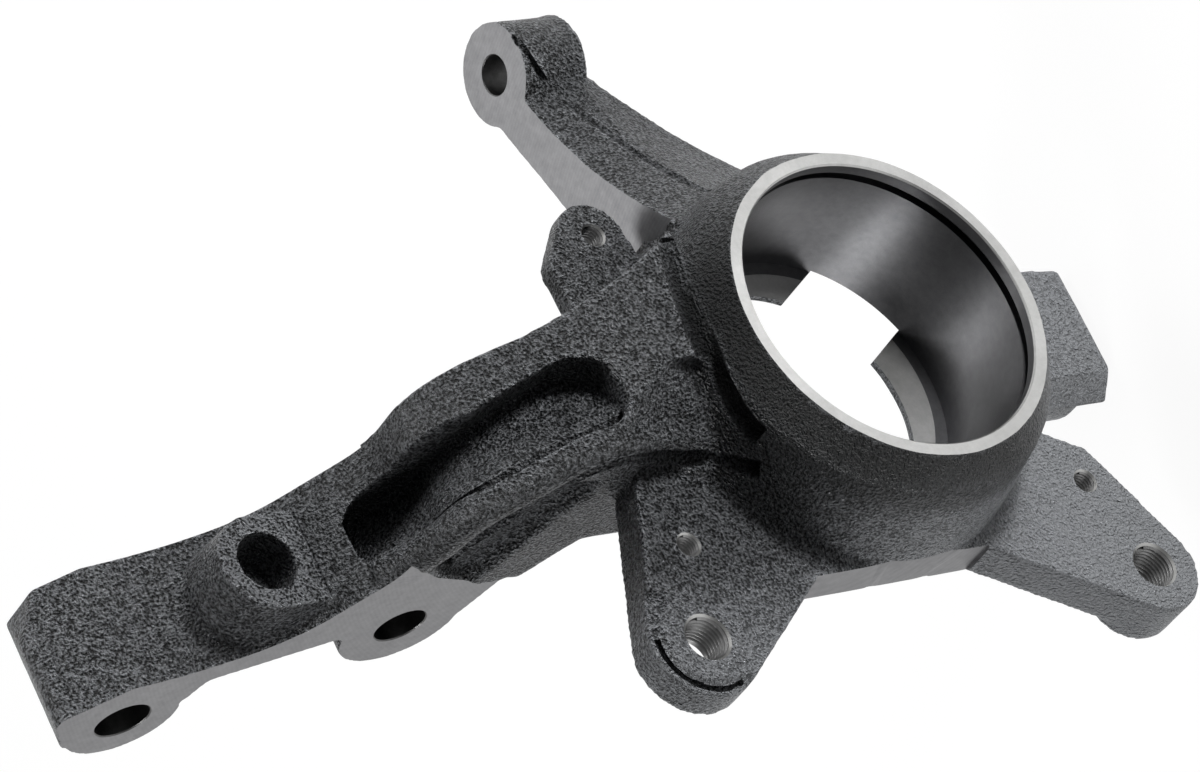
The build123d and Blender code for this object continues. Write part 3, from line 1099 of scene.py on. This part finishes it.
@dataclass
class StrutArm:
    """The strut arm: its two milled and bored sides, the cross boss's flat face, and the lines along it."""

    left_x: float = -18.0
    left_stock: float = -0.6
    right_x: float = 17.0
    right_stock: float = 1.0
    cutter_x: float = 24.0
    side: Outline = ((66, 121.4), (74, 111), (81.2, 94.5), (81.2, 64.2), (150, 64.2), (150, 215), (66, 215))
    boss_x: float = -1.0
    boss_z: float = 149.0
    boss_radius: float = 15.8
    boss_foot_z: float = 135.6
    boss_y: float = 84.0
    boss_stock: float = -0.7
    boss_cutter_y: float = 79.0
    boss_steps: int = 24
    upper_mouth: Place = (-18, 124.3, 180.3)
    upper_radius: float = 7.45
    lower_mouth: Place = (-18, 98.5, 109.2)
    lower_radius: float = 7.1
    bore_depth: float = 36.0
    bore_bevel: float = 0.3
    plug_lead: float = 0.5
    rib: Bar = Bar(
        4.8,
        (
            (-13.6, 76.5, 124.0),
            (-14.2, 70.6, 120.5),
            (-16.2, 60.0, 117.1),
            (-16.1, 49.3, 114.8),
            (-16.1, 43.5, 110.9),
            (-15.6, 36.0, 102.4),
            (-14.3, 28.4, 90.8),
            (-14.2, 25.0, 83.6),
            (-14.3, 24.1, 76.3),
            (-13.5, 27.2, 64.6),
            (-15.4, 29.1, 50.7),
        ),
    )
    root: Bar = Bar(7.0, ((6, 22, 69), (-3, 21.5, 62.5), (-9.5, 26.5, 57.5), (-17, 34, 54), (-25, 44, 51)))
    crease: Bar = Bar(
        1.5,
        (
            (-7.0, 76.0, 119.0),
            (-9.7, 74.0, 119.8),
            (-9.7, 66.4, 116.4),
            (-11.9, 51.6, 116.2),
            (-12.7, 39.8, 111.6),
            (-12.3, 33.3, 104.7),
            (-11.0, 26.9, 93.7),
            (-10.3, 22.7, 84.9),
            (-9.8, 20.0, 78.6),
        ),
    )
    under_rib: Bar = Bar(
        2.9,
        (
            (-15.2, 73.6, 107.0),
            (-15.4, 63.7, 102.9),
            (-15.6, 54.5, 94.8),
            (-19.2, 40.0, 96.4),
            (-19.6, 31.0, 90.3),
            (-19.6, 27.0, 82.0),
            (-19.6, 26.3, 73.3),
            (-19.6, 29.5, 60.4),
            (-22.4, 27.4, 52.0),
            (-30.4, 21.8, 46.2),
        ),
    )

    def side_stock(self) -> list[Stock]:
        """The metal left on the sides for the cutter."""
        return [Stock(0, self.left_x, self.left_stock), Stock(0, self.right_x, self.right_stock)]

    def boss_face_stock(self) -> Stock:
        """The metal left on the cross boss's face."""
        return Stock(1, self.boss_y, self.boss_stock)

    def sides(self) -> list[Slab]:
        """The tools that mill the sides.

        Returns:
            The left side's tool and the right side's.
        """
        return [
            Slab(Finish.MILLED, 0, self.left_x, -self.cutter_x, self.side),
            Slab(Finish.MILLED, 0, self.right_x, self.cutter_x, self.side),
        ]

    def boss_face(self) -> Slab:
        """The tool that flattens the cross boss's face.

        Returns:
            The tool.
        """
        half = [math.radians(180 * step / self.boss_steps) for step in range(self.boss_steps + 1)]
        x, z, radius = self.boss_x, self.boss_z, self.boss_radius
        bow = [(x + radius * math.cos(turn), z + radius * math.sin(turn)) for turn in half]
        foot = [(x - radius, self.boss_foot_z), (x + radius, self.boss_foot_z)]
        return Slab(Finish.COAT, 1, self.boss_y, self.boss_cutter_y, (*bow, *foot))

    def bores(self) -> list[Hole]:
        """The two clamp bolts' holes, through both sides.

        Returns:
            The upper hole and the lower.
        """
        bores = ((self.upper_mouth, self.upper_radius), (self.lower_mouth, self.lower_radius))
        depth, bevel = self.bore_depth, self.bore_bevel
        return [
            Hole(Finish.DRILLED, mouth, LEFT, radius, radius, depth, bevel, plug_lead=self.plug_lead)
            for mouth, radius in bores
        ]


@dataclass
class SteeringArm:
    """The steering arm and the shield tab beside it: milled flange, tapered bore and parting groove."""

    flange_z: float = 35.0
    flange_stock: float = 0.8
    cutter_z: float = 42.0
    flange: Outline = ((140, 10), (140, 80), (45.5, 80), (45.5, 40.8), (60.3, 40.8), (60.3, 33.9))
    flange_tip: Outline = ((46.4, 33.9), (43.6, 30.0), (42.8, 25.0), (44.0, 19.0), (47.5, 14.0), (52.0, 10.0))
    tab_gap: Outline = ((45.5, 33.8), (61.5, 33.8), (61.5, 41.0), (45.5, 41.0))
    tab_gap_height: float = 1.3
    taper_mouth: Place = (115.4, 57.5, 35)
    taper_radius: float = 5.35
    taper_end_radius: float = 7.0
    taper_depth: float = 20.5
    taper_bevel: float = 0.3
    plug_lead: float = 0.5
    parting: Bar = Bar(
        1.2,
        (
            (118.6, 43.6, 34.5),
            (112.0, 44.0, 33.5),
            (105.2, 48.2, 28.7),
            (95.8, 46.3, 24.6),
            (85.3, 41.8, 22.4),
            (72.9, 35.5, 21.4),
            (61.5, 28.4, 20.0),
            (53.3, 22.6, 19.6),
            (47.0, 17.0, 18.0),
        ),
    )

    def stock(self) -> Stock:
        """The metal left on the flange for the cutter."""
        return Stock(2, self.flange_z, self.flange_stock)

    def flange_cut(self) -> Slab:
        """The tool that mills the flange."""
        return Slab(Finish.MILLED, 2, self.flange_z, self.cutter_z, (*self.flange, *self.flange_tip))

    def tab_gap_cut(self) -> Slab:
        """The tool that clears the flange behind the shield tab."""
        return Slab(Finish.MILLED, 2, self.flange_z, self.flange_z + self.tab_gap_height, self.tab_gap)

    def taper(self) -> Hole:
        """The tie rod's tapered bore.

        Returns:
            The bore.
        """
        return Hole(
            Finish.DRILLED,
            self.taper_mouth,
            DOWN,
            self.taper_radius,
            self.taper_end_radius,
            self.taper_depth,
            self.taper_bevel,
            self.plug_lead,
        )


@dataclass
class CaliperEars:
    """The two caliper ears, the web between them, and the lip round the upper ear's tip."""

    web_x: float = -55.5
    web_stock: float = -0.8
    cutter_x: float = -62.0
    web: Outline = ((33, -23.5), (47, -23.5), (47, 33.5), (33, 33.5))
    lip_centre: Place = UPPER_EAR_HOLE
    lip_start: float = 78.0
    lip_turn: float = 125.0
    lip_steps: int = 36
    step_y: tuple[float, float] = (32.0, 36.0)
    step_radii: tuple[float, float] = (14.1, 17.5)
    groove_y: tuple[float, float] = (35.5, 37.4)
    groove_radii: tuple[float, float] = (11.8, 14.3)

    def stock(self) -> Stock:
        """The metal left on the web's edge for the cutter."""
        return Stock(0, self.web_x, self.web_stock)

    def web_edge(self) -> Slab:
        """The tool that mills the web's edge."""
        return Slab(Finish.MILLED, 0, self.web_x, self.cutter_x, self.web)

    def lip(self) -> list[Slab]:
        """The tools for the step and the groove round the upper ear's tip."""
        cuts = ((self.step_y, self.step_radii), (self.groove_y, self.groove_radii))
        return [Slab(Finish.COAT, 1, start, end, self.crescent(*radii)) for (start, end), radii in cuts]

    def crescent(self, inner: float, outer: float) -> Outline:
        """A part of a ring about the upper ear's hole, on the side away from the hub.

        Args:
            inner: Its inner radius.
            outer: Its outer radius.

        Returns:
            Its outline in x and z.
        """
        x, _, z = self.lip_centre
        steps = range(self.lip_steps + 1)
        turns = [math.radians(self.lip_start + self.lip_turn * step / self.lip_steps) for step in steps]
        there = [(x + outer * math.cos(turn), z + outer * math.sin(turn)) for turn in turns]
        again = [(x + inner * math.cos(turn), z + inner * math.sin(turn)) for turn in reversed(turns)]
        return tuple(there + again)


@dataclass
class Casting:
    """The whole casting: its skin, and every machined face and hole."""

    voxel: float = 0.00085
    smoothing: int = 4
    hollow_reach: int = 14
    hollow_depth: float = 0.10
    triangles: int = 165_000
    uneven: float = 0.00035
    wave: float = 0.011
    crisp_angle: float = 38.0
    hub: HubBore = field(default_factory=HubBore)
    shoulder: Shoulder = field(default_factory=Shoulder)
    arm: StrutArm = field(default_factory=StrutArm)
    steering: SteeringArm = field(default_factory=SteeringArm)
    ears: CaliperEars = field(default_factory=CaliperEars)
    ball_joint: Hole = Hole(Finish.DRILLED, (7, 57, -96), UP, 8.0, 8.0, depth=26.5, countersink=0.5)
    tapped: tuple[TappedHole, ...] = (
        TappedHole("caliper_thread_upper", UPPER_EAR_HOLE, 12.0, M12),
        TappedHole("caliper_thread_lower", (-69.5, 34, -72.4), 15.5, M12),
        TappedHole("shield_thread_upper", (-40.7, 34, 66.5), 12.0, M6),
        TappedHole("shield_thread_lower", (-42.3, 34, -64.3), 12.0, M6),
        TappedHole("shield_thread_tab", (50.1, 34, 49.4), 6.5, M6),
    )
    moat: Bar = Bar(
        3.5,
        (
            (33.0, 8.0, 48.9),
            (27.4, 8.2, 50.6),
            (21.8, 8.2, 51.9),
            (16.5, 8.2, 52.9),
            (11.4, 8.2, 53.6),
            (5.5, 8.2, 54.5),
            (-1.5, 9.0, 54.3),
            (-6.4, 11.8, 53.4),
            (-11.5, 12.4, 52.6),
            (-16.0, 13.6, 51.5),
            (-21.2, 14.2, 49.7),
            (-25.0, 14.2, 47.9),
        ),
    )

    def holes(self) -> list[Hole]:
        """The tapped, bored and reamed holes."""
        walls = [tapped.hole() for tapped in self.tapped]
        return [*walls, *self.arm.bores(), self.steering.taper(), self.ball_joint]

    def blank(self) -> bpy.types.Object:
        """A copy of the solid with its triangles merged, thickened on the planes that will be cut.

        Returns:
            The copy.
        """
        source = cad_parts["knuckle"]
        piece = bpy.data.objects.new("casting", source.data.copy())
        piece.matrix_world = source.matrix_world
        bpy.context.scene.collection.objects.link(piece)
        Workshop.settle(piece)
        with Workshop.editing():
            bpy.ops.mesh.remove_doubles(threshold=GAP)
        ears, steering, boss = self.ears.stock(), self.steering.stock(), self.arm.boss_face_stock()
        for stock in (*self.arm.side_stock(), steering, ears, boss):
            stock.lay(piece)
        return piece

    def cast(self) -> bpy.types.Object:
        """Fills the blank's holes, adds its bars and gives it a casting's rounded, slightly uneven skin.

        Returns:
            The rough casting.
        """
        blank = self.blank()
        plugs = [*self.hub.plugs(), *(hole.plug() for hole in self.holes())]
        piece = Workshop.join([blank, *plugs, self.arm.rib.build(), self.arm.root.build()], "casting")
        Workshop.modify(piece, "REMESH", mode="VOXEL", voxel_size=self.voxel)
        Workshop.modify(piece, "SMOOTH", factor=0.5, iterations=self.smoothing)
        Workshop.fillet_hollows(piece, self.hollow_reach, self.hollow_depth)
        waves = bpy.data.textures.new("uneven_skin", "CLOUDS")
        waves.noise_scale = self.wave
        waves.noise_depth = 2
        Workshop.modify(
            piece, "DISPLACE", texture=waves, texture_coords="LOCAL", strength=self.uneven, mid_level=0.5
        )
        count = sum(len(face.vertices) - 2 for face in piece.data.polygons)
        Workshop.modify(piece, "DECIMATE", ratio=min(1.0, self.triangles / count))
        return piece

    def carve(self, piece: bpy.types.Object, materials: list[bpy.types.Material]) -> None:
        """Hollows the lines along the rib, the steering arm's parting groove and the moat round the collar.

        Args:
            piece: The rough casting.
            materials: The materials, in the order of the slots.
        """
        bars = (self.arm.crease, self.arm.under_rib, self.steering.parting, self.moat)
        for carver in [bar.build() for bar in bars]:
            Workshop.paint(carver, materials, Finish.COAT)
            Workshop.cut(piece, carver)

    def mill(self, piece: bpy.types.Object, materials: list[bpy.types.Material]) -> None:
        """Planes the milled faces and bores the hub.

        Args:
            piece: The carved casting.
            materials: The materials, in the order of the slots.
        """
        flange, edge, boss = self.steering.flange_cut(), self.ears.web_edge(), self.arm.boss_face()
        tools = [slab.build(materials) for slab in (*self.arm.sides(), flange, edge, boss)]
        tools.append(self.hub.tool(materials))
        Workshop.cut(piece, Workshop.join(tools, "milling_tools"))

    def drill(self, piece: bpy.types.Object, materials: list[bpy.types.Material]) -> None:
        """Cuts every hole and the shoulder's opening, and bevels the holes' mouths.

        Args:
            piece: The milled casting.
            materials: The materials, in the order of the slots.
        """
        drills = [hole.drill(materials) for hole in self.holes()]
        drills.append(self.shoulder.opening().build(materials))
        Workshop.cut(piece, Workshop.join(drills, "drills"))
        sinks = [hole.sink(materials) for hole in self.holes()]
        Workshop.cut(piece, Workshop.join(sinks, "countersinks"))

    def score(self, piece: bpy.types.Object, materials: list[bpy.types.Material]) -> None:
        """Clears the flange behind the shield tab and cuts the lip round the upper ear's tip.

        Args:
            piece: The drilled casting.
            materials: The materials, in the order of the slots.
        """
        for slab in (self.steering.tab_gap_cut(), *self.ears.lip()):
            Workshop.cut(piece, slab.build(materials))

    def build(self, materials: list[bpy.types.Material]) -> bpy.types.Object:
        """Casts, mills and drills the knuckle.

        Args:
            materials: The materials, in the order of the slots.

        Returns:
            The finished casting.
        """
        bpy.context.view_layer.update()
        piece = self.cast()
        log.info("casting skin: %d faces", len(piece.data.polygons))
        Workshop.paint(piece, materials, Finish.COAT)
        for work in (self.carve, self.mill, self.drill, self.score):
            work(piece, materials)
            log.info("after %s: %d faces", work.__name__, len(piece.data.polygons))
        Workshop.close(piece)
        Workshop.modify(piece, "TRIANGULATE")
        Workshop.take(piece)
        bpy.ops.object.shade_smooth_by_angle(angle=math.radians(self.crisp_angle))
        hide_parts("knuckle")
        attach(piece, "root")
        return piece


@dataclass(frozen=True)
class Lamp:
    """A square soft lamp: its place from the part along the view's axes, its side and its power in watts."""

    name: str
    place: Place
    size: float
    power: float


@dataclass
class Studio:
    """Pale floor, even white surround, soft lamps and the camera."""

    focal: float = 180.0
    sensor: float = 36.0
    clip: tuple[float, float] = (0.01, 50.0)
    eye: Place = (-0.55510, -1.02773, 0.96611)
    right: Place = (-0.4101, -0.4519, -0.7922)
    top: Place = (0.8314, -0.5423, -0.1211)
    back: Place = (-0.3749, -0.7083, 0.5981)
    part_centre: Place = (0.02, 0.05, 0.04)
    dark_side: Place = (-0.45, -0.45, 0.75)
    dark_room: Span = Span(0.15, 0.8, 1.0, 0.03)
    diffuse_share: float = 0.20
    floor_size: float = 8.0
    floor_drop: float = 0.002
    floor_paint: float = 0.8
    floor_shadow: float = 0.10
    floor_glow: float = 0.93
    lamps: tuple[Lamp, ...] = (
        Lamp("key", (0.38, 0.80, 0.50), 0.25, 17.0),
        Lamp("left", (-0.95, 0.55, 0.15), 0.35, 6.0),
        Lamp("edge", (-1.03, -0.05, -0.12), 0.45, 1.8),
        Lamp("low", (-0.10, -1.00, 0.25), 0.35, 6.0),
    )

    def camera(self) -> None:
        """Places the camera."""
        data = bpy.data.cameras.new("camera")
        data.lens = self.focal
        data.sensor_width = self.sensor
        data.clip_start, data.clip_end = self.clip
        camera = bpy.data.objects.new("camera", data)
        bpy.context.scene.collection.objects.link(camera)
        turn = Matrix((self.right, self.top, self.back)).transposed().to_4x4()
        camera.matrix_world = Matrix.Translation(self.eye) @ turn
        bpy.context.scene.camera = camera

    def aim(self, right: float, top: float, back: float) -> Vector:
        """A direction given along the view's own axes.

        Args:
            right: How far to the view's right.
            top: How far to its top.
            back: How far towards the camera.

        Returns:
            The same in the scene's axes.
        """
        return Vector(self.right) * right + Vector(self.top) * top + Vector(self.back) * back

    def hang(self, lamp: Lamp) -> None:
        """Adds a lamp that faces the part.

        Args:
            lamp: The lamp.
        """
        data = bpy.data.lights.new(lamp.name, "AREA")
        data.shape = "SQUARE"
        data.size = lamp.size
        data.energy = lamp.power
        light = bpy.data.objects.new(lamp.name, data)
        bpy.context.scene.collection.objects.link(light)
        away = self.aim(*lamp.place)
        light.location = Vector(self.part_centre) + away
        light.rotation_euler = away.to_track_quat("Z", "Y").to_euler()

    def world(self) -> None:
        """Surrounds the part with white that falls off to a dark room behind the camera."""
        world = bpy.data.worlds.new("surround")
        bpy.context.scene.world = world
        g = ShaderGraph(world, "Generated")
        dark = self.aim(*self.dark_side).normalized()
        bright = (g.across * dark.x + g.along * dark.y + g.up * dark.z).over(self.dark_room)
        share = g.background_ray().over(Span(0.0, 1.0, self.diffuse_share, 1.0))
        surround = g.add("ShaderNodeBackground", {}, {"Strength": bright * share}, "Background")
        g.finish(surround, "ShaderNodeOutputWorld")

    def floor(self) -> None:
        """Lays a white floor just under the part."""
        Workshop.clear()
        height = size_before[0].z - self.floor_drop
        bpy.ops.mesh.primitive_plane_add(size=self.floor_size, location=(0, 0, height))
        floor = bpy.context.object
        floor.name = "floor"
        Workshop.settle(floor)
        g = ShaderGraph(bpy.data.materials.new("floor_paint"))
        paint, shadow = (
            g.add("ShaderNodeBsdfDiffuse", {}, {"Color": (grey, grey, grey, 1.0)}, "BSDF")
            for grey in (self.floor_paint, self.floor_shadow)
        )
        glow = g.add("ShaderNodeEmission", {}, {"Strength": self.floor_glow}, "Emission")
        seen = g.add("ShaderNodeAddShader", {}, {0: shadow, 1: glow})
        g.finish(g.add("ShaderNodeMixShader", {}, {"Fac": g.background_ray(), 1: paint, 2: seen}))
        floor.data.materials.append(g.owner)

    def build(self) -> None:
        """Sets up the whole studio."""
        bpy.context.scene.view_settings.view_transform = "Standard"
        self.camera()
        self.world()
        self.floor()
        for lamp in self.lamps:
            self.hang(lamp)
        log.info("studio ready")


CUT_METALS = (
    CutMetal(
        Finish.FACED, (0.38, 0.38, 0.373), (0.54, 0.54, 0.533), 0.34, groove=0.00035, groove_depth=12e-6
    ),
    # The bored wall is much darker than the faced ring: painted shade inside the bore.
    CutMetal(
        Finish.BORED, (0.095, 0.095, 0.10), (0.155, 0.155, 0.16), 0.36, groove=0.00030, groove_depth=10e-6
    ),
    CutMetal(
        Finish.MILLED, (0.13, 0.13, 0.135), (0.23, 0.23, 0.235), 0.42, groove=0.0011, groove_depth=4e-6
    ),
    CutMetal(
        Finish.DRILLED, (0.06, 0.06, 0.06), (0.15, 0.15, 0.15), 0.38, groove=0.0004, groove_depth=20e-6
    ),
    CutMetal(
        Finish.THREAD, (0.10, 0.10, 0.10), (0.32, 0.32, 0.32), 0.30, groove=0.0005, groove_depth=10e-6
    ),
)


def finishes() -> list[bpy.types.Material]:
    """Makes every finish, in the order of the slots."""
    return [CoatedCasting().build(), *(metal.build() for metal in CUT_METALS)]


def main() -> None:
    """Builds the knuckle and its studio."""
    logging.basicConfig(level=logging.INFO, format="%(name)s: %(message)s")
    materials = finishes()
    casting = Casting()
    piece = casting.build(materials)
    log.info("casting: %d triangles", len(piece.data.polygons))
    for tapped in casting.tapped:
        thread = tapped.build(materials)
        log.info("%s: %d faces", thread.name, len(thread.data.polygons))
    Studio().build()


if __name__ == "__main__":
    main()
